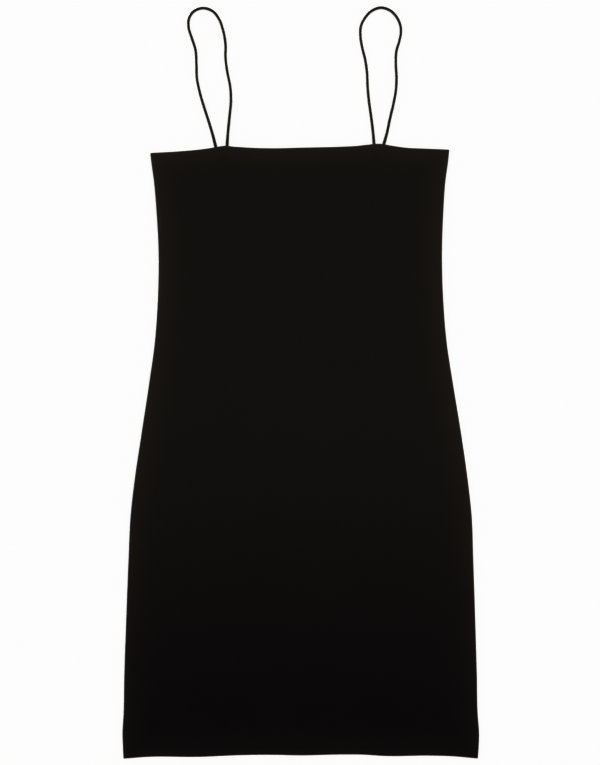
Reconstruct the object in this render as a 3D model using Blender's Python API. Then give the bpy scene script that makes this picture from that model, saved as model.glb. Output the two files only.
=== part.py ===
"""Slip dress in stretch jersey, laid flat on its back: two panels and two shoulder straps.

Metres. +X to the right as laid, +Y from the hem to the straps, +Z up from the surface that the
dress lies on. The origin is under the middle of the whole dress. Heights called up are measured
from the hem's lowest corner.
"""

from collections import namedtuple

import bmesh
import bpy
import numpy as np

# Cloth
WALL = 0.0010  # one layer of jersey
DOUBLED = 0.0015  # where an edge is turned in and stitched down
GAP = 0.0003  # between pieces that lie on each other or meet at a seam
MERGE = 0.00001  # points closer than this are one point

# The dress as laid
LENGTH = 0.9774  # from the hem's lowest corner to the top of the longer strap loop
BODY = 0.793  # from the hem to the neckline, along the middle
HEM_TURN = 0.033  # depth of the hem's turn-up
NECK_TURN = 0.012  # depth of the neckline's turn-in
BACK_SHORT = 0.0008  # how far the back panel stops short of the front at hem and neckline
EDGE_ROUND = 0.0006  # how far back from a folded edge the cloth has its full thickness
TURN_FADE = 0.004  # over which a turned edge thins out to one layer
ROWS_BETWEEN = 15  # rows of points between the turned edges

# The side folds, where front and back meet at the side seam
SEAM_HEIGHT = 0.0020
SIDE_HEIGHT = 0.0038  # top of the soft roll along each side
FOLD_DEPTH = 0.0032  # how far in from the side the roll reaches its top
ROLL_REACH = 0.026  # how far in from the side the roll dies away
FOLD_ANGLES = np.radians((0, 30, 60, 90))

# The straps
STRAP = 0.0030  # diameter
TAIL_SIZE = 0.6  # of the diameter, where the sewn end is pressed between the panels
TAIL_START, TAIL_END = 0.798, 0.815  # heights between which a strap thins down to its sewn end
STRAP_STEP = 0.0072  # between the points of a strap's line
ROOTS = (-0.1030, 0.1020)  # where the ends of each strap are sewn in, at the neckline
ROOT_HALF, ROOT_REACH = 0.0118, 0.026  # half width of the lift over a strap's ends, and its foot
ROOT_DEPTH, ROOT_FADE = NECK_TURN + TURN_FADE, 0.040  # the same, below the neckline

Side = namedtuple("Side", "up left right")
SIDES = (  # how far the sides stand from the middle line
    Side(0.000, 0.2300, 0.2299),
    Side(0.012, 0.2306, 0.2308),
    Side(0.033, 0.2313, 0.2315),
    Side(0.056, 0.2300, 0.2298),
    Side(0.110, 0.2289, 0.2286),
    Side(0.180, 0.2265, 0.2265),
    Side(0.260, 0.2234, 0.2239),
    Side(0.315, 0.2208, 0.2219),
    Side(0.360, 0.2158, 0.2170),
    Side(0.420, 0.2069, 0.2085),
    Side(0.490, 0.1963, 0.1971),
    Side(0.540, 0.1894, 0.1895),
    Side(0.590, 0.1857, 0.1853),
    Side(0.660, 0.1845, 0.1834),
    Side(0.710, 0.1871, 0.1851),
    Side(0.750, 0.1905, 0.1878),
    Side(0.775, 0.1939, 0.1912),
    Side(0.791, 0.1957, 0.1929),
)

Edge = namedtuple("Edge", "x up")
HEM = (
    Edge(-0.2300, 0.0000),
    Edge(-0.2060, 0.0019),
    Edge(-0.1260, 0.0024),
    Edge(-0.0790, 0.0045),
    Edge(-0.0380, 0.0049),
    Edge(-0.0010, 0.0044),
    Edge(0.0560, 0.0053),
    Edge(0.0790, 0.0052),
    Edge(0.1080, 0.0034),
    Edge(0.1650, 0.0039),
    Edge(0.2020, 0.0027),
    Edge(0.2299, 0.0002),
)
NECKLINE = (
    Edge(-0.1957, 0.7864),
    Edge(-0.1640, 0.7882),
    Edge(-0.1290, 0.7913),
    Edge(-0.1120, 0.7937),
    Edge(-0.0998, 0.7956),
    Edge(-0.0870, 0.7947),
    Edge(-0.0580, 0.7930),
    Edge(-0.0370, 0.7926),
    Edge(0.0040, 0.7935),
    Edge(0.0560, 0.7948),
    Edge(0.0730, 0.7957),
    Edge(0.0860, 0.7971),
    Edge(0.1030, 0.7982),
    Edge(0.1180, 0.7960),
    Edge(0.1370, 0.7933),
    Edge(0.1600, 0.7922),
    Edge(0.1929, 0.7908),
)

# Where the front panel lies a little fuller on the back
Swell = namedtuple("Swell", "x up across along height")
SWELLS = (
    Swell(-0.085, 0.690, 0.060, 0.055, 0.0010),
    Swell(0.075, 0.700, 0.070, 0.048, 0.0008),
    Swell(0.020, 0.560, 0.120, 0.050, 0.0007),
    Swell(-0.110, 0.400, 0.070, 0.110, 0.0009),
    Swell(0.120, 0.330, 0.060, 0.130, 0.0010),
    Swell(-0.020, 0.190, 0.090, 0.100, 0.0007),
)

# Each strap's line on the floor, from its end on the back panel round to its end on the front
Stop = namedtuple("Stop", "x up")
STRAP_LEFT = (
    Stop(-0.1085, 0.7855),
    Stop(-0.1104, 0.7945),
    Stop(-0.1137, 0.8080),
    Stop(-0.1192, 0.8265),
    Stop(-0.1256, 0.8465),
    Stop(-0.1314, 0.8665),
    Stop(-0.1349, 0.8840),
    Stop(-0.1356, 0.9030),
    Stop(-0.1367, 0.9205),
    Stop(-0.1418, 0.9370),
    Stop(-0.1457, 0.9500),
    Stop(-0.1452, 0.9618),
    Stop(-0.1395, 0.9706),
    Stop(-0.1268, 0.9752),
    Stop(-0.1139, 0.9708),
    Stop(-0.1065, 0.9616),
    Stop(-0.1012, 0.9475),
    Stop(-0.0978, 0.9285),
    Stop(-0.0977, 0.9095),
    Stop(-0.0954, 0.8920),
    Stop(-0.0918, 0.8740),
    Stop(-0.0907, 0.8545),
    Stop(-0.0924, 0.8355),
    Stop(-0.0943, 0.8165),
    Stop(-0.0955, 0.8000),
    Stop(-0.0961, 0.7868),
)
STRAP_RIGHT = (
    Stop(0.1050, 0.7875),
    Stop(0.1077, 0.7970),
    Stop(0.1119, 0.8120),
    Stop(0.1163, 0.8325),
    Stop(0.1205, 0.8505),
    Stop(0.1237, 0.8680),
    Stop(0.1246, 0.8855),
    Stop(0.1237, 0.9025),
    Stop(0.1243, 0.9185),
    Stop(0.1282, 0.9325),
    Stop(0.1303, 0.9435),
    Stop(0.1294, 0.9535),
    Stop(0.1248, 0.9635),
    Stop(0.1171, 0.9716),
    Stop(0.1047, 0.9758),
    Stop(0.0920, 0.9714),
    Stop(0.0834, 0.9622),
    Stop(0.0784, 0.9520),
    Stop(0.0776, 0.9395),
    Stop(0.0800, 0.9240),
    Stop(0.0838, 0.9085),
    Stop(0.0862, 0.8920),
    Stop(0.0870, 0.8735),
    Stop(0.0887, 0.8545),
    Stop(0.0912, 0.8365),
    Stop(0.0936, 0.8180),
    Stop(0.0951, 0.8020),
    Stop(0.0957, 0.7885),
)

JERSEY_BLACK = (0.0100, 0.0090, 0.0080, 1.0)
STRAP_BLACK = (0.0120, 0.0105, 0.0092, 1.0)


def clear_scene():
    for thing in list(bpy.data.objects):
        bpy.data.objects.remove(thing, do_unlink=True)


def cloth_material(name, colour, roughness):
    material = bpy.data.materials.new(name)
    material.use_nodes = True
    shader = material.node_tree.nodes["Principled BSDF"]
    shader.inputs["Base Color"].default_value = colour
    shader.inputs["Roughness"].default_value = roughness
    shader.inputs["Metallic"].default_value = 0.0
    return material


def smooth_through(places, values):
    """A function whose graph is a smooth curve through the given points, places rising."""
    places, values = np.array(places), np.array(values)
    slopes = np.gradient(values, places)

    def value_at(place):
        place = np.clip(place, places[0], places[-1])
        i = np.clip(np.searchsorted(places, place, side="right") - 1, 0, len(places) - 2)
        span = places[i + 1] - places[i]
        t = (place - places[i]) / span
        from_lower = (1 + 2 * t) * values[i] + t * span * slopes[i]
        from_upper = (3 - 2 * t) * values[i + 1] - (1 - t) * span * slopes[i + 1]
        return (1 - t) ** 2 * from_lower + t**2 * from_upper

    return value_at


def ease(value, start, end):
    """0 up to start and 1 from end on, with a soft turn at both."""
    t = np.clip((value - start) / (end - start), 0, 1)
    return t * t * (3 - 2 * t)


left_side = smooth_through([s.up for s in SIDES], [s.left for s in SIDES])
right_side = smooth_through([s.up for s in SIDES], [s.right for s in SIDES])
hem_line = smooth_through([e.x for e in HEM], [e.up for e in HEM])
neck_line = smooth_through([e.x for e in NECKLINE], [e.up for e in NECKLINE])


def up_at(share, across):
    """Height of a point that is that share of the way from hem to neckline, and across from the
    left side, 0, to the right, 1."""
    hem = hem_line(HEM[0].x + (HEM[-1].x - HEM[0].x) * across)
    neck = neck_line(NECKLINE[0].x + (NECKLINE[-1].x - NECKLINE[0].x) * across)
    return hem + (neck - hem) * share


def thickness_at(share):
    """Thickness of a panel: its turned edges count as one thicker wall."""
    fade = TURN_FADE / 2
    turned = share * BODY < HEM_TURN + fade or (1 - share) * BODY < NECK_TURN + fade
    return DOUBLED if turned else WALL


def front_lift(x, up, from_side, share):
    """How far the front panel's inside lies above its lowest, which is GAP over the back panel."""
    side_lift = SIDE_HEIGHT - 2 * thickness_at(share) - GAP
    roll = side_lift * np.exp(-((from_side / ROLL_REACH) ** 2))
    fullness = 0
    for swell in SWELLS:
        reach = ((x - swell.x) / swell.across) ** 2 + ((up - swell.up) / swell.along) ** 2
        fullness = fullness + swell.height * np.exp(-reach)
    fullness = fullness * ease(from_side, 0, ROLL_REACH)
    over_tails = GAP + TAIL_SIZE * STRAP
    below_neck = (1 - share) * BODY
    roots = 0
    for root in ROOTS:
        roots = roots + 1 - ease(np.abs(x - root), ROOT_HALF, ROOT_REACH)
    roots = roots * over_tails * (1 - ease(below_neck, ROOT_DEPTH, ROOT_FADE))
    return roll + fullness + roots


def front_heights(x, up, from_side, share):
    """Heights of the front panel's outer and inner face."""
    thickness = thickness_at(share)
    inner = thickness + GAP + front_lift(x, up, from_side, share)
    return inner + thickness, inner


def back_heights(x, up, from_side, share):
    """Heights of the back panel's outer face, which lies flat on the floor, and its inner face."""
    return np.zeros_like(x), np.full_like(x, thickness_at(share))


def face_of_row(share, inset, heights, seam_face):
    """One face's points in one row, left to right: a quarter round at each side that ends in the
    seam, and between them the columns across the width."""
    fractions = column_fractions()
    left = -left_side(up_at(share, 0.0)) + inset
    right = right_side(up_at(share, 1.0)) - inset
    quarter = (FOLD_DEPTH - inset) * (1 - np.cos(FOLD_ANGLES))
    middle = left + (right - left) * np.array(fractions)
    x = np.concatenate([left + quarter, middle, (right - quarter)[::-1]])
    rise = np.concatenate(
        [np.sin(FOLD_ANGLES), np.ones(len(fractions)), np.sin(FOLD_ANGLES)[::-1]]
    )
    up = up_at(share, (x - left) / (right - left))
    from_side = np.minimum(x - left, right - x)
    z = seam_face + (heights(x, up, np.maximum(from_side - FOLD_DEPTH, 0), share) - seam_face) * rise
    return np.stack([x, up - LENGTH / 2, z], axis=1)


def panel_rings(shares, heights, seam_face):
    """The sections of a panel's wall from hem to neckline, as closed rings of points. The first
    and last ring are folded flat, to round off the panel's ends."""
    rings = []
    for share in shares:
        outer = face_of_row(share, 0.0, lambda *place: heights(*place)[0], seam_face)
        inner = face_of_row(
            share, thickness_at(share), lambda *place: heights(*place)[1], seam_face
        )
        if share in (shares[0], shares[-1]):
            outer = inner = (outer + inner) / 2
        rings.append(np.concatenate([outer, inner[::-1]]))
    return rings


def loft(name, rings, material):
    """A closed body through rings of points that follow each other."""
    build = bmesh.new()
    loops = [[build.verts.new(point) for point in ring] for ring in rings]
    for lower, upper in zip(loops, loops[1:]):
        for i in range(len(lower)):
            build.faces.new((lower[i - 1], lower[i], upper[i], upper[i - 1]))
    bmesh.ops.remove_doubles(build, verts=build.verts, dist=MERGE)
    bmesh.ops.recalc_face_normals(build, faces=build.faces)
    mesh = bpy.data.meshes.new(name)
    build.to_mesh(mesh)
    build.free()
    mesh.shade_smooth()
    mesh.set_sharp_from_angle(angle=np.radians(40))
    mesh.materials.append(material)
    thing = bpy.data.objects.new(name, mesh)
    bpy.context.scene.collection.objects.link(thing)
    return thing


def row_shares(short):
    """Where a panel's rows lie between hem and neckline, close together at the turned edges."""
    hem = [short, short + EDGE_ROUND, 0.009, HEM_TURN, HEM_TURN + TURN_FADE]
    neck = [ROOT_FADE, ROOT_DEPTH, NECK_TURN, 0.006, short + EDGE_ROUND, short]
    between = np.linspace(hem[-1], BODY - neck[0], ROWS_BETWEEN + 2)[1:-1]
    heights = hem + list(between) + [BODY - depth for depth in neck]
    return [height / BODY for height in heights]


def column_fractions():
    """Where both panels' columns stand across the width, with some on each lift over a strap."""
    width = NECKLINE[-1].x - NECKLINE[0].x
    fractions = {0.02, 0.05, 0.10, 0.40, 0.50, 0.60, 0.90, 0.95, 0.98}
    for root in ROOTS:
        middle = (root - NECKLINE[0].x) / width
        step, foot = 0.9 * ROOT_HALF / width, ROOT_REACH / width
        fractions |= {middle - foot, middle - step, middle, middle + step, middle + foot}
    return sorted(fractions)


def panel(name, short, heights, seam_face, material):
    return loft(name, panel_rings(row_shares(short), heights, seam_face), material)


def strap(name, stops, material):
    """A round strap that lies on the floor in its loop, with both ends pressed between the panels
    just below the neckline."""
    x = np.array([stop.x for stop in stops])
    up = np.array([stop.up for stop in stops])
    along = np.concatenate([[0], np.cumsum(np.hypot(np.diff(x), np.diff(up)))])
    places = np.linspace(0, along[-1], round(along[-1] / STRAP_STEP) + 1)
    x, up = smooth_through(along, x)(places), smooth_through(along, up)(places)
    free = ease(up, TAIL_START, TAIL_END)
    size = TAIL_SIZE + (1 - TAIL_SIZE) * free
    tail_height = DOUBLED + GAP + TAIL_SIZE * STRAP / 2
    z = tail_height + (STRAP / 2 - tail_height) * free

    curve = bpy.data.curves.new(name, "CURVE")
    curve.dimensions = "3D"
    curve.bevel_depth = STRAP / 2
    curve.bevel_resolution = 2
    curve.use_fill_caps = True
    line = curve.splines.new("POLY")
    line.points.add(len(places) - 1)
    for point, place in zip(line.points, np.stack([x, up - LENGTH / 2, z, size], axis=1)):
        point.co = (*place[:3], 1.0)
        point.radius = place[3]
    curve.materials.append(material)
    thing = bpy.data.objects.new(name, curve)
    bpy.context.scene.collection.objects.link(thing)
    return thing


def main():
    clear_scene()
    jersey = cloth_material("black_jersey", JERSEY_BLACK, 0.85)
    cord = cloth_material("black_strap", STRAP_BLACK, 0.75)
    panel("front_panel", 0.0, front_heights, SEAM_HEIGHT + GAP / 2, jersey)
    panel("back_panel", BACK_SHORT, back_heights, SEAM_HEIGHT - GAP / 2, jersey.copy())
    strap("strap_left", STRAP_LEFT, cord)
    strap("strap_right", STRAP_RIGHT, cord.copy())


main()
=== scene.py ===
"""Slip dress in black stretch jersey with two round shoulder straps, laid flat on a pale floor.

Two panels of cloth with their hem turn-ups and neckline turn-ins, two turned straps and the
twin-needle stitching are made in the frame's own metres. +X is to the right as laid, +Y from the
hem to the straps, +Z up from the floor. Heights called up are measured from the hem's lowest corner.
"""

import math
from collections import namedtuple
from functools import partial

import bpy
import numpy as np
from bpy.props import FloatProperty, FloatVectorProperty, IntProperty, PointerProperty
from bpy.types import Operator, Panel, PropertyGroup
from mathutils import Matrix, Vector


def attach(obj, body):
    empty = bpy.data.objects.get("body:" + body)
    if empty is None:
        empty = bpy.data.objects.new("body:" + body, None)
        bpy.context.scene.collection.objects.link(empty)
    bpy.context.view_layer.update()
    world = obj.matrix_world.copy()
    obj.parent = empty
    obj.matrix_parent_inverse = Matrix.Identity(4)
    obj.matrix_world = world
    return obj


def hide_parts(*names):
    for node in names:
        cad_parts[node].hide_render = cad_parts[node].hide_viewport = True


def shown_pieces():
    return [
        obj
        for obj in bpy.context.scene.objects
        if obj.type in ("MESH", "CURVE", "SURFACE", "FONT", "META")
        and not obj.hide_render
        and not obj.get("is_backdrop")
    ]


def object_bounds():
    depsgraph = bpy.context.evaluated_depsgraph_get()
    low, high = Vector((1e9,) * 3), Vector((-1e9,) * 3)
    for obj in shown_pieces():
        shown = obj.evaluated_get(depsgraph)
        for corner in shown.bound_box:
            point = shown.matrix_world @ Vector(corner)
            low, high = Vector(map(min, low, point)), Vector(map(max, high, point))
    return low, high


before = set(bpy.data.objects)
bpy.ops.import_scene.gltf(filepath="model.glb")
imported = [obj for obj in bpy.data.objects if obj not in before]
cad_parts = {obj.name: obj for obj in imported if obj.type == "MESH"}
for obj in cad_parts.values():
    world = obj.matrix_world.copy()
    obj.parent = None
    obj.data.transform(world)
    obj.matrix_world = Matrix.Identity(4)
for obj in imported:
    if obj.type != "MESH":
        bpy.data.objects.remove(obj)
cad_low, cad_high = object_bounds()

bl_info = {
    "name": "Slip Dress",
    "version": (1, 0, 0),
    "blender": (4, 5, 0),
    "location": "3D View > Sidebar > Slip Dress",
    "description": "A slip dress in black jersey, laid flat, with its straps, stitching and studio",
    "category": "Object",
}

BODY_NAME = "root"

# The space that the frame gives each panel's cloth, open and with an edge turned in, and the gap
# between the two panels
WALL = 0.0010
DOUBLED = 0.0015
GAP = 0.0003
BODY = 0.793  # from the hem's lowest corner up to the middle of the neckline
BACK_SHORT = 0.0008  # how far the back panel stops short of the front at hem and neckline
HEM_IMPRINT, NECK_IMPRINT = 0.0335, 0.0125  # up to where a turned edge shows through in full
IMPRINT_FADE = 0.0045  # over how much more of the way it fades out
SEAM_HEIGHT = 0.0020  # of the side seam, between the two panels
SIDE_HEIGHT = 0.0038  # of the front panel's roll along the side
ROLL_REACH = 0.026  # of that soft roll, in from the side
ALLOWANCE = 0.0085  # width of the side seam's allowance, which shows through as a faint step
ALLOWANCE_STEP, ALLOWANCE_FADE = 0.00020, 0.0015  # height of that step, and half its slope's width
SHARP_ANGLE = math.radians(50)  # from which an edge of a mesh is shown sharp

# Where the straps' ends lie between the panels
TAILS = (-0.1098, -0.0958, 0.0955, 0.1068)
TAIL_RISE, TAIL_REACH = 0.0021, 0.0056  # how high they lift the front panel, and how far aside
TAIL_DEPTH, TAIL_FADE = 0.011, 0.034  # below the neckline: where the lift starts to fall, and its foot

Side = namedtuple("Side", "up left right")
SIDES = (  # how far the sides stand from the middle line
    Side(0.000, 0.2300, 0.2299),
    Side(0.012, 0.2306, 0.2308),
    Side(0.033, 0.2313, 0.2315),
    Side(0.056, 0.2300, 0.2298),
    Side(0.110, 0.2289, 0.2286),
    Side(0.180, 0.2265, 0.2265),
    Side(0.260, 0.2234, 0.2239),
    Side(0.315, 0.2208, 0.2219),
    Side(0.360, 0.2158, 0.2170),
    Side(0.420, 0.2069, 0.2085),
    Side(0.490, 0.1963, 0.1971),
    Side(0.540, 0.1894, 0.1895),
    Side(0.590, 0.1857, 0.1853),
    Side(0.660, 0.1845, 0.1834),
    Side(0.710, 0.1871, 0.1851),
    Side(0.750, 0.1905, 0.1878),
    Side(0.775, 0.1939, 0.1912),
    Side(0.791, 0.1957, 0.1929),
)

Edge = namedtuple("Edge", "x up")
HEM = (
    Edge(-0.2300, 0.0000),
    Edge(-0.2060, 0.0019),
    Edge(-0.1260, 0.0024),
    Edge(-0.0790, 0.0045),
    Edge(-0.0380, 0.0049),
    Edge(-0.0010, 0.0044),
    Edge(0.0560, 0.0053),
    Edge(0.0790, 0.0052),
    Edge(0.1080, 0.0034),
    Edge(0.1650, 0.0039),
    Edge(0.2020, 0.0027),
    Edge(0.2299, 0.0002),
)
NECKLINE = (
    Edge(-0.1957, 0.7864),
    Edge(-0.1640, 0.7882),
    Edge(-0.1290, 0.7913),
    Edge(-0.1120, 0.7937),
    Edge(-0.0998, 0.7956),
    Edge(-0.0870, 0.7947),
    Edge(-0.0580, 0.7930),
    Edge(-0.0370, 0.7926),
    Edge(0.0040, 0.7935),
    Edge(0.0560, 0.7948),
    Edge(0.0730, 0.7957),
    Edge(0.0860, 0.7971),
    Edge(0.1030, 0.7982),
    Edge(0.1180, 0.7960),
    Edge(0.1370, 0.7933),
    Edge(0.1600, 0.7922),
    Edge(0.1929, 0.7908),
)

# Where the front panel lies a little fuller on the back
Swell = namedtuple("Swell", "x up across along height")
SWELLS = (
    Swell(-0.085, 0.690, 0.060, 0.055, 0.0010),
    Swell(0.075, 0.700, 0.070, 0.048, 0.0008),
    Swell(0.020, 0.560, 0.120, 0.050, 0.0007),
    Swell(-0.110, 0.400, 0.070, 0.110, 0.0009),
    Swell(0.120, 0.330, 0.060, 0.130, 0.0010),
    Swell(-0.020, 0.190, 0.090, 0.100, 0.0007),
)

# Soft troughs (depth below 0) and ridges (above 0) in the cloth. Turn is in degrees from upright,
# leaning right, and bow is how far the middle is bent aside, in widths.
Crease = namedtuple("Crease", "x up length width turn bow depth")
FRONT_CREASES = (
    # pulled out from under the straps' ends
    Crease(-0.129, 0.757, 0.088, 0.0085, 32, 0.4, -0.00030),
    Crease(-0.112, 0.742, 0.110, 0.0095, 9, -0.5, -0.00026),
    Crease(-0.086, 0.752, 0.078, 0.0080, -21, 0.3, -0.00022),
    Crease(0.122, 0.754, 0.092, 0.0090, -27, 0.5, -0.00028),
    Crease(0.104, 0.738, 0.120, 0.0100, -6, -0.4, -0.00030),
    Crease(0.082, 0.757, 0.070, 0.0080, 24, 0.4, -0.00020),
    # across the waist, from the sides
    Crease(-0.158, 0.628, 0.064, 0.0100, 74, 0.5, -0.00034),
    Crease(-0.163, 0.590, 0.050, 0.0085, 83, -0.3, -0.00024),
    Crease(0.154, 0.644, 0.070, 0.0105, -77, -0.4, -0.00030),
    Crease(0.160, 0.601, 0.046, 0.0080, -86, 0.4, -0.00026),
    Crease(0.164, 0.556, 0.040, 0.0090, -68, 0.2, -0.00018),
    # long and low over the hips and the skirt
    Crease(-0.062, 0.470, 0.210, 0.0170, 11, 0.8, -0.00030),
    Crease(0.071, 0.438, 0.240, 0.0190, -9, -0.7, -0.00034),
    Crease(-0.148, 0.232, 0.190, 0.0150, 5, 0.6, -0.00026),
    Crease(0.026, 0.262, 0.170, 0.0180, 3, -0.6, 0.00024),
    Crease(0.163, 0.182, 0.150, 0.0140, -4, 0.5, -0.00028),
    Crease(-0.052, 0.118, 0.120, 0.0160, -7, 0.4, 0.00028),
)
BACK_CREASES = (
    Crease(-0.104, 0.738, 0.096, 0.0090, 14, 0.4, 0.00022),
    Crease(0.112, 0.742, 0.104, 0.0095, -12, -0.5, 0.00020),
    Crease(0.036, 0.610, 0.120, 0.0130, 62, 0.5, 0.00016),
    Crease(-0.150, 0.600, 0.060, 0.0100, 80, 0.3, 0.00024),
    Crease(0.152, 0.622, 0.066, 0.0090, -78, 0.4, 0.00022),
    Crease(-0.078, 0.330, 0.200, 0.0170, 6, 0.6, 0.00022),
    Crease(0.096, 0.268, 0.220, 0.0160, -8, -0.5, 0.00024),
)

# Waves along the front's hem: where it stands a little off the back
Wave = namedtuple("Wave", "x reach height")
HEM_WAVES = (
    Wave(-0.214, 0.020, 0.0006),
    Wave(-0.148, 0.026, 0.0003),
    Wave(-0.082, 0.024, 0.0005),
    Wave(0.003, 0.027, 0.0012),
    Wave(0.074, 0.022, 0.0003),
    Wave(0.141, 0.030, 0.0005),
    Wave(0.215, 0.018, 0.0006),
)
HEM_WAVE_REACH = 0.055  # how far up from the hem they run

# Each strap's line on the floor, from its outer sewn end round the loop to its inner one
Stop = namedtuple("Stop", "x up")
STRAP_LEFT = (
    Stop(-0.1085, 0.7855),
    Stop(-0.1104, 0.7945),
    Stop(-0.1137, 0.8080),
    Stop(-0.1192, 0.8265),
    Stop(-0.1256, 0.8465),
    Stop(-0.1314, 0.8665),
    Stop(-0.1349, 0.8840),
    Stop(-0.1356, 0.9030),
    Stop(-0.1367, 0.9205),
    Stop(-0.1418, 0.9370),
    Stop(-0.1457, 0.9500),
    Stop(-0.1452, 0.9618),
    Stop(-0.1395, 0.9706),
    Stop(-0.1268, 0.9752),
    Stop(-0.1139, 0.9708),
    Stop(-0.1065, 0.9616),
    Stop(-0.1012, 0.9475),
    Stop(-0.0978, 0.9285),
    Stop(-0.0977, 0.9095),
    Stop(-0.0954, 0.8920),
    Stop(-0.0918, 0.8740),
    Stop(-0.0907, 0.8545),
    Stop(-0.0924, 0.8355),
    Stop(-0.0943, 0.8165),
    Stop(-0.0955, 0.8000),
    Stop(-0.0961, 0.7868),
)
STRAP_RIGHT = (
    Stop(0.1050, 0.7875),
    Stop(0.1077, 0.7970),
    Stop(0.1119, 0.8120),
    Stop(0.1163, 0.8325),
    Stop(0.1205, 0.8505),
    Stop(0.1237, 0.8680),
    Stop(0.1246, 0.8855),
    Stop(0.1237, 0.9025),
    Stop(0.1243, 0.9185),
    Stop(0.1282, 0.9325),
    Stop(0.1303, 0.9435),
    Stop(0.1294, 0.9535),
    Stop(0.1248, 0.9635),
    Stop(0.1171, 0.9716),
    Stop(0.1047, 0.9758),
    Stop(0.0920, 0.9714),
    Stop(0.0834, 0.9622),
    Stop(0.0784, 0.9520),
    Stop(0.0776, 0.9395),
    Stop(0.0800, 0.9240),
    Stop(0.0838, 0.9085),
    Stop(0.0862, 0.8920),
    Stop(0.0870, 0.8735),
    Stop(0.0887, 0.8545),
    Stop(0.0912, 0.8365),
    Stop(0.0936, 0.8180),
    Stop(0.0951, 0.8020),
    Stop(0.0957, 0.7885),
)
TAIL_START, TAIL_END = 0.798, 0.815  # heights between which a strap thins down to its sewn end
TAIL_WIDTH, TAIL_HEIGHT = 1.18, 0.6  # of the diameter, where the end is pressed
FULL_START, FULL_END, FULLER = 0.825, 0.880, 0.09  # heights over which it grows fuller to its foot

# The contrast of the view: how strong a light is shown, for some levels of light
CONTRAST = (
    (0.00, 0.000),
    (0.03, 0.011),
    (0.06, 0.018),
    (0.11, 0.032),
    (0.20, 0.067),
    (0.30, 0.127),
    (0.50, 0.320),
    (0.70, 0.600),
    (0.83, 0.850),
    (0.91, 0.950),
    (0.97, 0.982),
    (1.10, 0.995),
)

# Names of the cloth's map and marks, which the finishes and the stitches read
CLOTH_MAP = "cloth"
# the mark of the painted highlight along the cloth's edges
HIGHLIGHT_MARK = "wear"
PULL_MARK = "needle_pull"
OUT_MARK = "outward"


# ---------------------------------------------------------------- the dress's settings


def limited(kind, name, description, default, limits, **more):
    """Something that a user may change, between its limits."""
    low, high = limits
    return kind(name=name, description=description, default=default, min=low, max=high, **more)


metres = partial(limited, FloatProperty, precision=5, subtype="DISTANCE", unit="LENGTH")
amount = partial(limited, FloatProperty)
whole_number = partial(limited, IntProperty)
colour = partial(limited, FloatVectorProperty, limits=(0.0, 1.0), size=3, subtype="COLOR")


class ClothSettings(PropertyGroup):
    """Sizes of the two panels' cloth."""

    thickness: metres("Cloth thickness", "Thickness of one layer of jersey", 0.00065, (0.0003, 0.0009))
    turn_gap: metres(
        "Gap in a turned edge",
        "Space between a turned edge and the cloth that it is stitched to",
        0.0002,
        (0.0, 0.0005),
    )
    hem_turn: metres(
        "Hem turn-up", "Depth of the cloth that is turned up inside the hem", 0.0350, (0.020, 0.050)
    )
    neck_turn: metres(
        "Neckline turn-in",
        "Depth of the cloth that is turned in at the neckline",
        0.0125,
        (0.008, 0.020),
    )
    seam_lip: metres(
        "Seam lip",
        "How far the cloth turns in past the side fold, at the side seam",
        0.0006,
        (0.0002, 0.0012),
    )
    row_step: metres(
        "Row step", "Distance between the mesh's rows, from hem to neckline", 0.0040, (0.002, 0.02)
    )
    columns: whole_number(
        "Columns", "Number of the mesh's columns across a panel's face", 158, (40, 180)
    )
    crease_strength: amount(
        "Crease strength", "How strongly the creases stand out", 1.5, (0.0, 3.0), subtype="FACTOR"
    )


class StrapSettings(PropertyGroup):
    """Sizes of the two turned straps."""

    diameter: metres("Strap diameter", "Thickness of the round strap", 0.0030, (0.002, 0.004))
    ring_step: metres(
        "Ring step", "Distance between the rings of the strap's mesh", 0.0009, (0.0005, 0.005)
    )
    sides: whole_number("Sides", "Number of points in a ring of the strap's mesh", 20, (8, 32))
    seam_depth: metres(
        "Seam depth", "Depth of the groove along the strap's seam", 0.00016, (0.0, 0.0004)
    )


class StitchSettings(PropertyGroup):
    """Sizes of the twin-needle stitching."""

    pitch: metres("Stitch pitch", "Distance from one stitch to the next", 0.0030, (0.002, 0.005))
    length: metres("Stitch length", "Length of thread that shows in one stitch", 0.0025, (0.001, 0.004))
    thread: metres("Thread thickness", "Thickness of the sewing thread", 0.00034, (0.0002, 0.0006))
    needle_gap: metres("Needle gap", "Distance between the two needles' rows", 0.0033, (0.002, 0.008))
    hem_row: metres("Hem row", "How far above the hem's edge the lower row runs", 0.0300, (0.010, 0.040))
    neck_row: metres(
        "Neckline row", "How far below the neckline's edge the upper row runs", 0.0078, (0.004, 0.012)
    )
    pull: metres("Stitch pull", "How deep the stitching pulls the cloth in", 0.00014, (0.0, 0.0002))


class FinishSettings(PropertyGroup):
    """Colours and knit of the cloth, the straps and the thread."""

    jersey: colour("Jersey black", "Colour of the jersey where it lies open", (0.0050, 0.0040, 0.0047))
    # the edge colour is a painted highlight: light along the jersey's edges, painted into its colour
    jersey_worn: colour(
        "Jersey edge",
        "Colour of the jersey along its pressed and rubbed edges",
        (0.0152, 0.0093, 0.0090),
    )
    strap: colour("Strap black", "Colour of the straps", (0.0055, 0.0040, 0.0034))
    thread: colour("Thread black", "Colour of the sewing thread", (0.0070, 0.0057, 0.0062))
    wale: metres("Wale width", "Width of one column of knit loops", 0.00072, (0.0003, 0.003))
    course: metres("Course height", "Height of one row of knit loops", 0.00054, (0.0003, 0.003))


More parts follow.
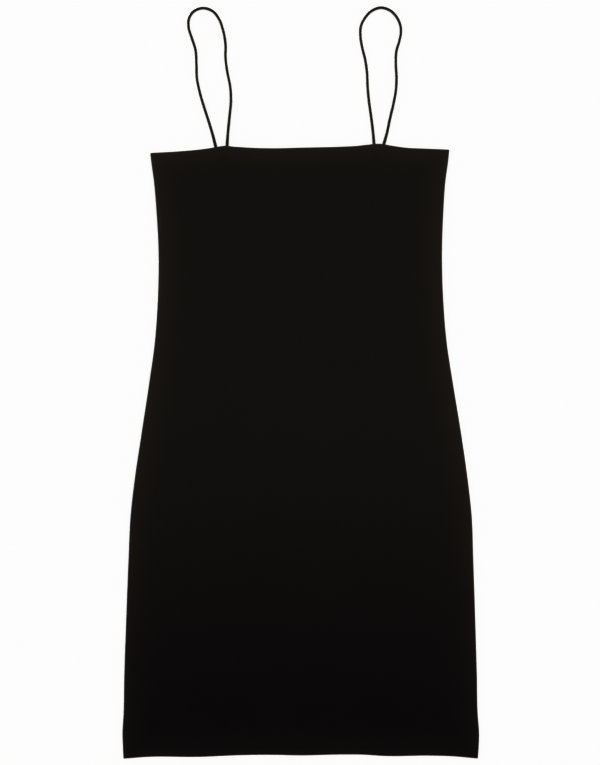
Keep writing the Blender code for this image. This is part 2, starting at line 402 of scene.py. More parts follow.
class StudioSettings(PropertyGroup):
    """Camera, floor and light."""

    lens: amount("Lens", "Focal length of the camera's lens, in millimetres", 85.0, (20.0, 200.0))
    framed: metres(
        "Framed length", "Length of floor that the camera shows from bottom to top", 0.9950, (0.5, 3.0)
    )
    floor: colour("Floor colour", "Colour of the studio floor", (0.90, 0.90, 0.90))
    surround: amount("Surround light", "Strength of the even light from all round", 0.30, (0.0, 5.0))
    backdrop: amount("Backdrop", "How pale the surround looks beyond the floor", 0.95, (0.0, 5.0))
    ceiling: amount("Ceiling light", "Strength of the soft light from straight above", 2.45, (0.0, 20.0))
    strap_end_light: amount(
        "Strap end light",
        "Power of the soft light on the upper part of the dress",
        7.2,
        (0.0, 1000.0),
        unit="POWER",
    )


class DressSettings(PropertyGroup):
    """All of the dress's settings."""

    cloth: PointerProperty(type=ClothSettings, name="Cloth", description="The panels' cloth")
    straps: PointerProperty(type=StrapSettings, name="Straps", description="The two straps")
    stitches: PointerProperty(type=StitchSettings, name="Stitches", description="The stitching")
    finish: PointerProperty(type=FinishSettings, name="Finish", description="Colours and knit")
    studio: PointerProperty(type=StudioSettings, name="Studio", description="Camera and light")


def settings():
    """The dress's settings, which the scene holds."""
    return bpy.context.scene.slip_dress


# ---------------------------------------------------------------- curves and meshes


def smooth_through(places, values):
    """A function whose graph is a smooth curve through the given points, places rising."""
    places, values = np.array(places), np.array(values)
    slopes = np.gradient(values, places)

    def value_at(place):
        place = np.clip(place, places[0], places[-1])
        i = np.clip(np.searchsorted(places, place, side="right") - 1, 0, len(places) - 2)
        span = places[i + 1] - places[i]
        t = (place - places[i]) / span
        from_lower = (1 + 2 * t) * values[i] + t * span * slopes[i]
        from_upper = (3 - 2 * t) * values[i + 1] - (1 - t) * span * slopes[i + 1]
        return (1 - t) ** 2 * from_lower + t**2 * from_upper

    return value_at


def ease(value, start, end):
    """0 up to start and 1 from end on, with a soft turn at both."""
    t = np.clip((value - start) / (end - start), 0, 1)
    return t * t * (3 - 2 * t)


def hill(distance, reach):
    """1 at distance 0, falling softly to near 0 at twice the reach."""
    return np.exp(-((distance / reach) ** 2))


def unit(vectors):
    """The same directions, with length 1."""
    return vectors / np.linalg.norm(vectors, axis=-1, keepdims=True)


def length_along(points):
    """How far along each line of points every point lies."""
    steps = np.linalg.norm(np.diff(points, axis=0), axis=-1)
    return np.concatenate([np.zeros_like(steps[:1]), np.cumsum(steps, axis=0)])


left_side = smooth_through([s.up for s in SIDES], [s.left for s in SIDES])
right_side = smooth_through([s.up for s in SIDES], [s.right for s in SIDES])
hem_line = smooth_through([e.x for e in HEM], [e.up for e in HEM])
neck_line = smooth_through([e.x for e in NECKLINE], [e.up for e in NECKLINE])


def grid_quads(rows, columns, closed=False):
    """Corner numbers of the quads between the points of a grid, its columns closed round or not."""
    start = np.arange(rows - 1)[:, None] * columns
    step = np.arange(columns if closed else columns - 1)
    right = (step + 1) % columns
    quads = [start + step, start + right, start + columns + right, start + columns + step]
    return np.stack(quads, axis=-1).reshape(-1, 4)


def into_scene(name, data):
    """A new object, put in the scene."""
    thing = bpy.data.objects.new(name, data)
    bpy.context.scene.collection.objects.link(thing)
    return thing


def mesh_piece(name, points, faces, material, cloth_map, marks=None):
    """A mesh object in the frame's metres, with its map in metres along the cloth and its marks."""
    mesh = bpy.data.meshes.new(name)
    mesh.from_pydata(np.asarray(points).tolist(), [], [tuple(face) for face in faces])
    mesh.update()
    corners = np.zeros(len(mesh.loops), dtype=np.int32)
    mesh.loops.foreach_get("vertex_index", corners)
    layer = mesh.uv_layers.new(name=CLOTH_MAP)
    layer.uv.foreach_set("vector", np.asarray(cloth_map)[corners].astype(np.float32).ravel())
    for mark, values in (marks or {}).items():
        attribute = mesh.attributes.new(mark, "FLOAT", "POINT")
        attribute.data.foreach_set("value", np.asarray(values).astype(np.float32).ravel())
    mesh.shade_smooth()
    mesh.set_sharp_from_angle(angle=SHARP_ANGLE)
    mesh.materials.append(material)
    return into_scene(name, mesh)


# ---------------------------------------------------------------- trees of nodes


class Wire:
    """A socket in a tree of nodes. Arithmetic on it adds the Math nodes that work it out."""

    def __init__(self, build, socket):
        self.build = build
        self.socket = socket

    def beside(self, key):
        """Another output of the same node."""
        return Wire(self.build, self.build.find(self.socket.node.outputs, key))

    def __add__(self, other):
        return self.build.math("ADD", self, other)

    __radd__ = __add__

    def __sub__(self, other):
        return self.build.math("SUBTRACT", self, other)

    def __rsub__(self, other):
        return self.build.math("SUBTRACT", other, self)

    def __mul__(self, other):
        return self.build.math("MULTIPLY", self, other)

    __rmul__ = __mul__

    def __truediv__(self, other):
        return self.build.math("DIVIDE", self, other)

    def __rtruediv__(self, other):
        return self.build.math("DIVIDE", other, self)


class Build:
    """A tree of nodes in the making."""

    def __init__(self, tree):
        self.tree = tree

    def find(self, sockets, key):
        """One of a node's sockets: by its number, or among those in use by its name, in which _
        stands for a space, or the first."""
        if isinstance(key, int):
            return sockets[key]
        name = key and key.replace("_", " ")
        return next(socket for socket in sockets if socket.enabled and name in (None, socket.name))

    def feed(self, node, key, value):
        """Sets or links one of a node's inputs."""
        socket = self.find(node.inputs, key)
        if isinstance(value, Wire):
            self.tree.links.new(value.socket, socket)
        else:
            socket.default_value = value

    def node(self, kind, chosen=None, *numbered, output=None, **named):
        """Adds a node with its settings, then its sockets' values or links, and gives an output."""
        node = self.tree.nodes.new(kind)
        for setting, value in (chosen or {}).items():
            setattr(node, setting, value)
        for key, value in [*enumerate(numbered), *named.items()]:
            self.feed(node, key, value)
        return Wire(self, self.find(node.outputs, output)) if node.outputs else None

    def math(self, operation, *values):
        """Adds a Math node on wires or plain numbers."""
        return self.node("ShaderNodeMath", {"operation": operation}, *values)


class Finish(Build):
    """A material in the making."""

    def __init__(self, name):
        self.material = bpy.data.materials.new(name)
        self.material.use_nodes = True
        super().__init__(self.material.node_tree)
        self.shader = self.tree.nodes["Principled BSDF"]

    def wave(self, turns):
        """A cosine wave from 0 to 1, once for each whole turn."""
        return self.math("COSINE", turns * math.tau) * 0.5 + 0.5

    def split(self, vector):
        """A vector's first two parts."""
        first = self.node("ShaderNodeSeparateXYZ", None, vector)
        return first, first.beside(1)

    def cloth_map(self):
        """How far across and along the cloth a point lies, in metres."""
        return self.split(self.node("ShaderNodeUVMap", {"uv_map": CLOTH_MAP}))

    def mark(self, name):
        """How strongly a piece's points are marked with that name."""
        chosen = {"attribute_type": "GEOMETRY", "attribute_name": name}
        return self.node("ShaderNodeAttribute", chosen, output="Fac")

    def place(self):
        """Where a point of a piece lies."""
        return self.node("ShaderNodeTexCoord", output="Object")

    def cloud(self, size, detail=2.0, rough=0.5):
        """Uneven patches of about that size, from 0 to 1."""
        place = self.place()
        return self.node(
            "ShaderNodeTexNoise", Vector=place, Scale=1 / size, Detail=detail, Roughness=rough
        )

    def blend(self, factor, first, second):
        """A colour between two others."""
        chosen = {"data_type": "RGBA", "clamp_factor": True}
        return self.node("ShaderNodeMix", chosen, Factor=factor, A=first, B=second)

    def shades(self, factor, shade, darker, lighter):
        """A colour that goes from darker to lighter shades of one colour."""
        return self.blend(factor, with_alpha(shade, darker), with_alpha(shade, lighter))

    def relief(self, height, depth, under=None):
        """A bumped normal: height runs from 0 to 1 over that depth in metres."""
        under = {} if under is None else {"Normal": under}
        return self.node("ShaderNodeBump", Height=height, Distance=depth, Strength=1.0, **under)

    def done(self, **sockets):
        """Feeds the shader and gives the material."""
        for name, value in sockets.items():
            self.feed(self.shader, name, value)
        return self.material


# ---------------------------------------------------------------- finishes

# What the panels and the straps share: a matt black with a soft, slightly warm bloom
BLOOM = {
    "Metallic": 0.0,
    "Sheen_Weight": 0.60,
    "Sheen_Roughness": 0.36,
    "Sheen_Tint": (1.0, 0.93, 0.86, 1.0),
}
# Depths of the relief in the finishes
JERSEY_LOOPS, JERSEY_FUZZ, NEEDLE_HOLES = 0.000055, 0.000050, 0.00012
STRAP_LOOPS, STRAP_FUZZ, THREAD_PLIES = 0.000038, 0.000035, 0.00004
STRAP_KNIT = 0.8  # size of the straps' loops, as a share of the panels'
LEG_LEAN = 1.1  # rows that a loop's legs lean by, for each column's width across
ROW_SHARE = 0.45  # of the loops' relief, the rest is the columns'
PLY_STEP, PLY_SLANT = 0.00042, 0.8  # distance along X from ply to ply of the thread, and their slant


def with_alpha(shade, factor=1.0):
    """A colour with its alpha, made lighter or darker."""
    return (*[part * factor for part in shade], 1.0)


def knit_loops(finish, across, along, wale, course):
    """Height of a fine jersey's face: upright columns of small V-shaped loops."""
    column = finish.math("FRACT", across / wale)
    lean = finish.math("ABSOLUTE", column - 0.5)
    legs = finish.math("ABSOLUTE", finish.math("SINE", column * math.tau))
    loops = finish.wave(along / course - lean * LEG_LEAN)
    return legs * (loops * ROW_SHARE + (1 - ROW_SHARE))


def jersey_finish(name):
    """Matt black jersey, paler along its edges with a painted highlight, with painted shade in the
    needle holes at the rows.
    """
    colours = settings().finish
    finish = Finish(name)
    across, along = finish.cloth_map()
    loops = knit_loops(finish, across, along, colours.wale, colours.course)
    drift = finish.cloud(size=0.140, detail=3.0, rough=0.55)
    patches = finish.cloud(size=0.030)
    fuzz = finish.cloud(size=0.0011, rough=0.7)
    wear = finish.mark(HIGHLIGHT_MARK)
    pull = finish.mark(PULL_MARK)
    holes = finish.wave(across / settings().stitches.pitch) * pull

    # each one's share in how light the open cloth looks; the needle holes are darker by painted shade
    light = loops * 0.30 + drift * 0.30 + patches * 0.16 + fuzz * 0.12 - holes * 0.25
    open_cloth = finish.shades(light, colours.jersey, darker=0.72, lighter=1.34)
    lit_edge = with_alpha(colours.jersey_worn)
    normal = finish.relief(loops, JERSEY_LOOPS)
    normal = finish.relief(fuzz, JERSEY_FUZZ, normal)
    return finish.done(
        # the painted highlight pales the cloth along its edges
        Base_Color=finish.blend(wear * (0.45 + 0.55 * patches), open_cloth, lit_edge),
        Roughness=0.93 - wear * 0.10 - loops * 0.05 + patches * 0.04,
        Normal=finish.relief(1 - holes, NEEDLE_HOLES, normal),
        Specular_IOR_Level=0.040,
        **BLOOM,
    )


def strap_finish():
    """The same cloth cut on the bias and turned, with painted shade in its seam's groove."""
    colours = settings().finish
    finish = Finish("black_strap_cloth")
    around, along = finish.cloth_map()
    wale, course = colours.wale * STRAP_KNIT, colours.course * STRAP_KNIT
    bias = knit_loops(finish, around + along, along - around, wale, course)
    patches = finish.cloud(size=0.012)
    fuzz = finish.cloud(size=0.0009, rough=0.7)
    seam = finish.mark(PULL_MARK)
    # the seam's groove is darker by painted shade
    light = bias * 0.35 + patches * 0.35 + fuzz * 0.20 - seam * 0.45
    return finish.done(
        Base_Color=finish.shades(light, colours.strap, darker=0.70, lighter=1.40),
        Roughness=0.84 - bias * 0.06 + patches * 0.06,
        Normal=finish.relief(fuzz, STRAP_FUZZ, finish.relief(bias, STRAP_LOOPS)),
        Specular_IOR_Level=0.060,
        **BLOOM,
    )


def thread_finish():
    """Black two-ply sewing thread, a little glossier than the cloth."""
    finish = Finish("black_sewing_thread")
    x, y = finish.split(finish.place())
    ply = finish.wave((x + y * PLY_SLANT) / PLY_STEP)
    light = ply * 0.5 + finish.cloud(size=0.006) * 0.4
    return finish.done(
        Base_Color=finish.shades(light, settings().finish.thread, darker=0.75, lighter=1.35),
        Roughness=0.66 - ply * 0.10,
        Normal=finish.relief(ply, THREAD_PLIES),
        Metallic=0.0,
        Specular_IOR_Level=0.10,
    )


def floor_finish():
    """Matt pale floor."""
    finish = Finish("studio_floor")
    light = finish.cloud(size=1.5)
    return finish.done(
        Base_Color=finish.shades(light, settings().studio.floor, darker=0.995, lighter=1.0),
        Roughness=0.75,
        Specular_IOR_Level=0.1,
    )


# ---------------------------------------------------------------- the stage

FLOOR_REACH = 12.0  # each way from the middle
FLOOR_DROP = 0.0003  # how far the floor stays under the dress
SENSOR_WIDTH = 36.0  # of the camera, in millimetres
CAMERA_ASIDE, CAMERA_BELOW = 0.0010, 0.0002  # how far left of and below the middle it hangs
COMBINED = 3  # the curve that changes all colours alike
LIT_PIECES = "upper_light_falls_on"  # the collection of what the strap end's light falls on


def hang_light(name, kind, place, target, **chosen):
    """A soft light that faces the target and doesn't show itself."""
    lamp = bpy.data.lights.new(name, kind)
    for setting, value in chosen.items():
        setattr(lamp, setting, value)
    light = into_scene(name, lamp)
    light.location = place
    light.rotation_euler = (Vector(target) - Vector(place)).to_track_quat("-Z", "Y").to_euler()
    light.visible_camera = False
    return light


def pale_surround(studio):
    """Even light from all round. The camera sees it as pale as the floor."""
    world = bpy.data.worlds.new("surround")
    world.use_nodes = True
    build = Build(world.node_tree)
    build.tree.nodes.clear()
    giving, seen = [
        build.node("ShaderNodeBackground", Color=(1.0, 1.0, 1.0, 1.0), Strength=strength)
        for strength in (studio.surround, studio.backdrop)
    ]
    looked_at = build.node("ShaderNodeLightPath", output="Is Camera Ray")
    either = build.node("ShaderNodeMixShader", None, looked_at, giving, seen)
    build.node("ShaderNodeOutputWorld", Surface=either)
    return world


def set_contrast(view):
    """Plain colours with a studio's contrast curve: deep blacks and a clean white."""
    view.view_transform = "Standard"
    view.look = "None"
    view.exposure = 0.0
    view.gamma = 1.0
    view.use_curve_mapping = True
    curve = view.curve_mapping.curves[COMBINED]
    curve.points[-1].location = CONTRAST[-1]
    for level, shown in CONTRAST[1:-1]:
        curve.points.new(level, shown)
    view.curve_mapping.update()


class SLIPDRESS_OT_stage(Operator):
    """Lay the floor, set the light and hang the camera straight above the dress"""

    bl_idname = "slip_dress.stage"
    bl_label = "Set the stage"

    def execute(self, context):
        studio = settings().studio
        scene = context.scene

        corners = [(-1, -1), (1, -1), (1, 1), (-1, 1)]
        corners = [(x * FLOOR_REACH, y * FLOOR_REACH) for x, y in corners]
        points = [(x, y, cad_low.z - FLOOR_DROP) for x, y in corners]
        floor = mesh_piece("studio_floor", points, [(0, 1, 2, 3)], floor_finish(), corners)
        floor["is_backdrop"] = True

        camera = into_scene("camera", bpy.data.cameras.new("camera"))
        camera.data.lens = studio.lens
        camera.data.sensor_width = SENSOR_WIDTH
        camera.data.dof.use_dof = False
        middle = (cad_low + cad_high) / 2
        height = studio.framed * studio.lens / SENSOR_WIDTH
        camera.location = (middle.x - CAMERA_ASIDE, middle.y - CAMERA_BELOW, height)
        scene.camera = camera

        scene.world = pale_surround(studio)
        hang_light(
            "ceiling_light",
            "SUN",
            place=(0.0, 0.3, 3.0),
            target=(0.0, 0.0, 0.0),
            energy=studio.ceiling,
            angle=math.radians(40),
        )
        upper = hang_light(
            "strap_end_light",
            "AREA",
            place=(0.0, 0.55, 2.6),
            target=(0.0, 0.16, 0.0),
            energy=studio.strap_end_light,
            color=(0.93, 1.0, 0.54),
            shape="RECTANGLE",
            size=2.0,
            size_y=0.80,
            spread=math.radians(12),
        )
        upper.light_linking.receiver_collection = bpy.data.collections.new(LIT_PIECES)
        set_contrast(scene.view_settings)
        return {"FINISHED"}


# ---------------------------------------------------------------- the straps

# The groove of a strap's seam: its reach and how it wanders, as angles, and over what lengths
SEAM_REACH = 0.30
SEAM_WANDER, SEAM_WANDER_LENGTH = 0.7, 0.047
SEAM_WOBBLE, SEAM_WOBBLE_LENGTH = 0.4, 0.019
# How uneven a strap's thickness is, as shares of it, and over what lengths
LUMPS, LUMP_LENGTH, LUMP_GROUPS = 0.018, 0.0023, 0.0107
BULGES, BULGE_LENGTH = 0.014, 0.0061

# The straps, with where each one's seam starts round it, as an angle
StrapPlan = namedtuple("StrapPlan", "side stops twist")
STRAPS = (StrapPlan("left", STRAP_LEFT, -1.9), StrapPlan("right", STRAP_RIGHT, -1.2))


def strap_line(stops, diameter, step):
    """Points along a strap's middle, a step apart, with how far along each lies and how free of the
    strap's sewn ends."""
    x, up = np.transpose(stops)
    along = np.concatenate([[0], np.cumsum(np.hypot(np.diff(x), np.diff(up)))])
    places = np.linspace(0, along[-1], round(along[-1] / step) + 1)
    x, up = smooth_through(along, x)(places), smooth_through(along, up)(places)
    free = ease(up, TAIL_START, TAIL_END)
    tail_height = DOUBLED + GAP + TAIL_HEIGHT * diameter / 2
    z = tail_height + (diameter / 2 - tail_height) * free
    return np.stack([x, up + cad_low.y, z], axis=1), places, free


def ring_angles():
    """How far round a strap the points of each of its rings lie."""
    sides = settings().straps.sides
    return np.arange(sides) * math.tau / sides


def strap_rings(line, along, free, twist):
    """Rings of points round a strap's line, and how deep each lies in its seam: a groove that wanders
    round it. The strap is a little uneven along its length, and pressed flat at both sewn ends."""
    sizes = settings().straps
    angle = ring_angles()
    seam_angle = twist + SEAM_WANDER * np.sin(along / SEAM_WANDER_LENGTH + twist)
    seam_angle += SEAM_WOBBLE * np.sin(along / SEAM_WOBBLE_LENGTH)
    from_seam = (angle[None, :] - seam_angle[:, None] + math.pi) % math.tau - math.pi
    seam = hill(from_seam, SEAM_REACH) * free[:, None]
    uneven = LUMPS * np.sin(along / LUMP_LENGTH + twist) * np.sin(along / LUMP_GROUPS)
    uneven += BULGES * np.sin(along / BULGE_LENGTH + 2 * twist)
    uneven += FULLER * (1 - ease(line[:, 1] - cad_low.y, FULL_START, FULL_END))
    reach = sizes.diameter / 2 * (1 + uneven * free)[:, None] - sizes.seam_depth * seam
    wide = reach * (TAIL_WIDTH + (1 - TAIL_WIDTH) * free)[:, None] * np.cos(angle)
    high = reach * (TAIL_HEIGHT + (1 - TAIL_HEIGHT) * free)[:, None] * np.sin(angle)
    forward = unit(np.gradient(line, axis=0))
    aside = unit(np.cross((0.0, 0.0, 1.0), forward))
    above = np.cross(forward, aside)
    rings = line[:, None] + wide[..., None] * aside[:, None] + high[..., None] * above[:, None]
    rings[..., 2] = np.maximum(rings[..., 2], 0.0)
    return rings, seam


def strap_tube(name, stops, twist, material):
    """A strip sewn to a tube and turned, with its line and its length."""
    sizes = settings().straps
    line, along, free = strap_line(stops, sizes.diameter, sizes.ring_step)
    rings, seam = strap_rings(line, along, free, twist)
    count = len(line)
    points = np.concatenate([rings.reshape(-1, 3), line[:1], line[-1:]])
    faces = grid_quads(count, sizes.sides, closed=True).tolist()
    first_end, last_end = count * sizes.sides, count * sizes.sides + 1
    last_ring = (count - 1) * sizes.sides
    for i in range(sizes.sides):
        after = (i + 1) % sizes.sides
        faces.append((first_end, after, i))
        faces.append((last_end, last_ring + i, last_ring + after))
    around = np.abs(ring_angles() / math.tau - 0.5) * math.pi * sizes.diameter
    cloth_map = np.stack(np.broadcast_arrays(around[None, :], along[:, None]), axis=-1)
    cloth_map = np.concatenate([cloth_map.reshape(-1, 2), [(0, 0), (0, along[-1])]])
    marks = {PULL_MARK: np.concatenate([seam.ravel(), [0, 0]])}
    strap = mesh_piece(name, points, faces, material, cloth_map, marks)
    return strap, line, float(along[-1])


class SLIPDRESS_OT_straps(Operator):
    """Make the two turned shoulder straps, each lying in its loop with both ends sewn in"""

    bl_idname = "slip_dress.straps"
    bl_label = "Make the straps"

    def execute(self, context):
        material = strap_finish()
        for side, stops, twist in STRAPS:
            strap, line, length = strap_tube(f"{side}_turned_strap", stops, twist, material)
            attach(strap, BODY_NAME)
            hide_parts(f"strap_{side}")
            sewn_in = stops[1]
            sewn_in.up + cad_low.y
        return {"FINISHED"}


# ---------------------------------------------------------------- the shape of the cloth

# Where points of a panel lie: x and up, and how far in from the side, the hem and the neckline
Place = namedtuple("Place", "x up from_side from_hem from_neck")

# The two needles' rows: the reach of each groove, and of the low ridge between them, with its share
GROOVE_REACH = 0.00062
RIDGE_REACH, RIDGE_SHARE = 0.00085, 0.55
# The side seams' puckers: height, reach, and the lengths over which they come and go
PUCKER_HEIGHT, PUCKER_REACH = 0.00011, 0.007
PUCKER_LENGTH, PUCKER_GROUPS = 0.0031, 0.0143
DRIFT_SHARE, DRIFT_LENGTH = 0.6, 0.0077
FRONT_SHIFT, BACK_SHIFT = 0.4, 1.7  # so that the front and the back don't pucker alike
# Between these distances from the hem and the neckline, creases grow to their full height
CREASES_FROM_HEM = (0.030, 0.050)
CREASES_FROM_NECK = (0.010, 0.022)


def wall_at(place):
    """Thickness that the frame gives a panel's wall: more where an edge is turned in."""
    hem = 1 - ease(place.from_hem, HEM_IMPRINT, HEM_IMPRINT + IMPRINT_FADE)
    neck = 1 - ease(place.from_neck, NECK_IMPRINT, NECK_IMPRINT + IMPRINT_FADE)
    return WALL + (DOUBLED - WALL) * np.maximum(hem, neck)


def needle_pull(place):
    """How strongly the twin-needle rows pull the cloth in, with a low ridge between the two."""
    stitches = settings().stitches
    pull = 0
    for distance, row in ((place.from_hem, stitches.hem_row), (place.from_neck, stitches.neck_row)):
        other = row + stitches.needle_gap
        pull = pull + hill(distance - row, GROOVE_REACH) + hill(distance - other, GROOVE_REACH)
        pull = pull - RIDGE_SHARE * hill(distance - (row + other) / 2, RIDGE_REACH)
    return pull


def crease_relief(place, creases):
    """Height of the creases at a place: each a trough between two low ridges, or the reverse."""
    relief = 0
    for crease in creases:
        lean = math.radians(crease.turn)
        x, up = place.x - crease.x, place.up - crease.up
        along = (x * math.sin(lean) + up * math.cos(lean)) / (crease.length / 2)
        across = (x * math.cos(lean) - up * math.sin(lean)) / crease.width
        across = across - crease.bow * (1 - along**2)
        fade = np.clip(1 - along**2, 0, 1) ** 2
        relief = relief + crease.depth * fade * (1 - across**2) * np.exp(-(across**2))
    return relief * settings().cloth.crease_strength


def seam_pucker(place, shift):
    """Small uneven puckers along the side seams."""
    wave = np.sin(place.up / PUCKER_LENGTH + shift) * np.sin(place.up / PUCKER_GROUPS + 2 * shift)
    wave = wave + DRIFT_SHARE * np.sin(place.up / DRIFT_LENGTH + 3 * shift)
    return PUCKER_HEIGHT * wave * hill(place.from_side, PUCKER_REACH)


def front_face(place):
    """Height of the front panel's outer face."""
    top = 2 * wall_at(place) + GAP
    top = top + (SIDE_HEIGHT - top) * hill(place.from_side, ROLL_REACH)
    in_panel = ease(place.from_side, 0, ROLL_REACH)
    for swell in SWELLS:
        reach = ((place.x - swell.x) / swell.across) ** 2 + ((place.up - swell.up) / swell.along) ** 2
        top = top + swell.height * np.exp(-reach) * in_panel
    over_tails = np.minimum(sum(hill(place.x - tail, TAIL_REACH) for tail in TAILS), 1)
    top = top + TAIL_RISE * over_tails * (1 - ease(place.from_neck, TAIL_DEPTH, TAIL_FADE))
    near_hem = hill(place.from_hem, HEM_WAVE_REACH)
    for wave in HEM_WAVES:
        top = top + wave.height * hill(place.x - wave.x, wave.reach) * near_hem
    open_cloth = ease(place.from_hem, *CREASES_FROM_HEM) * ease(place.from_neck, *CREASES_FROM_NECK)
    lifted = np.maximum(crease_relief(place, BACK_CREASES), 0)
    top = top + (crease_relief(place, FRONT_CREASES) + lifted) * open_cloth
    past_allowance = ease(place.from_side, ALLOWANCE - ALLOWANCE_FADE, ALLOWANCE + ALLOWANCE_FADE)
    top = top - ALLOWANCE_STEP * past_allowance * open_cloth
    top = top + seam_pucker(place, FRONT_SHIFT)
    return top - settings().stitches.pull * needle_pull(place)


def back_face(place):
    """Height of the back panel's outer face, which lies on the floor but for its faint creases."""
    lift = np.maximum(crease_relief(place, BACK_CREASES), 0)
    lift = lift + np.maximum(seam_pucker(place, BACK_SHIFT), 0)
    return lift + settings().stitches.pull * np.maximum(needle_pull(place), 0)


# ---------------------------------------------------------------- the panels

# A panel: outward is 1 where its outer side is up and -1 where it is down, side_radius is of its
# side folds, at the middle of the cloth, and face gives the heights of its outer side
PanelPlan = namedtuple("PanelPlan", "name node outward short side_radius face rests_on")
FRONT = PanelPlan("front_jersey", "front_panel", 1, 0.0, 0.00053, front_face, "back_jersey")
BACK = PanelPlan("back_jersey", "back_panel", -1, BACK_SHORT, 0.00062, back_face, "studio_floor")

# A panel's cloth as one strip of rows, from the hem turn-up's cut edge to the neckline turn-in's:
# its middle points, outward normals, map and marks as grids, the number of the first row of its
# face, and the rows' shares of the way from hem to neckline
Strip = namedtuple("Strip", "middle normal cloth_map marks first_face_row shares")

FOLD_STEPS, SIDE_FOLD_STEPS = 7, 9
# How far round a turned edge's fold its rows lie, and how far round a side fold its points lie
FOLD_ANGLES = np.linspace(0, math.pi, FOLD_STEPS + 2)[1:-1, None]
SIDE_ANGLES = np.linspace(0, math.pi, SIDE_FOLD_STEPS + 1)[:-1]
SIDE_CROWD, SIDE_CROWD_REACH = 1.6, 0.15  # how much closer the columns stand at the sides
TAIL_CROWD, TAIL_CROWD_REACH = 1.3, 0.022  # and at each strap end
CROWD_SAMPLES = 2001
LEAD_IN, LEAD_STEP = 0.0013, 0.0007  # before a pair of needle rows: its first row, and the step to it
NEEDLE_STEP = 0.0006  # between the three rows of points at each needle
# Between a fold and its needle rows: about the rows' step, the fewest rows, how they crowd to it
OPEN_STEP, OPEN_ROWS, OPEN_CROWD = 0.004, 4, 1.25
FACE_STEP = 0.002  # between a turned edge's last row and the open face's first
SQUEEZE = 0.00006  # between a turned edge's first points, which the side fold leaves no room for
LIP_CLEAR = 0.0002  # between a side seam's lip and the turned edge inside it
SEAM_PARTING = 0.00005  # how far each panel's lip stays from the middle of the seam
# How strong the painted highlight along an edge is, broad and narrow, and how far in from the edge each
# reaches
BROAD_HIGHLIGHT, NARROW_HIGHLIGHT = 0.72, 0.28
BROAD_HIGHLIGHT_REACH, NARROW_HIGHLIGHT_REACH = 0.015, 0.004
# how strong that painted highlight is along the sides and along the turned edges
SIDE_HIGHLIGHT, TURNED_HIGHLIGHT = 1.0, 0.9


def turn_radius():
    """Radius of the fold at a turned edge, at the middle of the cloth."""
    cloth = settings().cloth
    return (cloth.thickness + cloth.turn_gap) / 2


def rows_of_depth(turn, row):
    """Distances from a folded edge to the rows of its turned part, close together at the stitches."""
    stitches = settings().stitches
    beyond = row + stitches.needle_gap
    at_needle = np.array([-NEEDLE_STEP, 0.0, NEEDLE_STEP])
    middle = row + stitches.needle_gap / 2
    close = [row - LEAD_IN, *(row + at_needle), middle, *(beyond + at_needle), turn]
    edge = turn_radius() + settings().cloth.thickness / 2
    spread = np.linspace(0, 1, max(OPEN_ROWS, round(row / OPEN_STEP))) ** OPEN_CROWD
    open_rows = edge + (close[0] - LEAD_STEP - edge) * spread
    return np.array([*open_rows, *close])


def face_fractions():
    """Where a panel's columns stand across its face: closer together at the sides and the straps."""
    fine = np.linspace(0, 1, CROWD_SAMPLES)
    crowd = 1 + SIDE_CROWD * (hill(fine, SIDE_CROWD_REACH) + hill(1 - fine, SIDE_CROWD_REACH))
    for tail in TAILS:
        at_tail = (tail - NECKLINE[0].x) / (NECKLINE[-1].x - NECKLINE[0].x)
        crowd = crowd + TAIL_CROWD * hill(fine - at_tail, TAIL_CROWD_REACH)
    share = np.concatenate([[0], np.cumsum(crowd[1:])]) / np.sum(crowd[1:])
    return np.interp(np.linspace(0, 1, settings().cloth.columns), share, fine)


def height_up(across, shares):
    """How far up the cloth lies, at shares of the way across it and of the way up to its neckline."""
    hem = hem_line(HEM[0].x + (HEM[-1].x - HEM[0].x) * across)
    neck = neck_line(NECKLINE[0].x + (NECKLINE[-1].x - NECKLINE[0].x) * across)
    return hem + (neck - hem) * shares


def side_insets(plan, turned):
    """How far in from the side the points of its fold lie, and the first point of the face. A turned
    edge stops short of the seam's lip, and as many points are packed together there."""
    cloth = settings().cloth
    margin = cloth.thickness / 2 + plan.side_radius
    lip_reach = margin + cloth.seam_lip
    if turned:
        inward = lip_reach + LIP_CLEAR + SQUEEZE * np.arange(SIDE_FOLD_STEPS + 1)
        return inward, inward[-1] + SQUEEZE
    return np.concatenate([[lip_reach], margin - plan.side_radius * np.sin(SIDE_ANGLES)]), margin


def fold_sides(plan, z):
    """Bends the ends of the rows round the side folds, from the seam's lip to the face."""
    count = SIDE_FOLD_STEPS + 1
    lip = SEAM_HEIGHT + plan.outward * (settings().cloth.thickness / 2 + SEAM_PARTING)
    turn = np.concatenate([[1.0], np.cos(SIDE_ANGLES)])
    for side, leaning, face_edge in (
        (slice(0, count), turn, z[:, count, None]),
        (slice(-count, None), turn[::-1], z[:, -count - 1, None]),
    ):
        z[:, side] = (lip + face_edge) / 2 - (face_edge - lip) / 2 * leaning


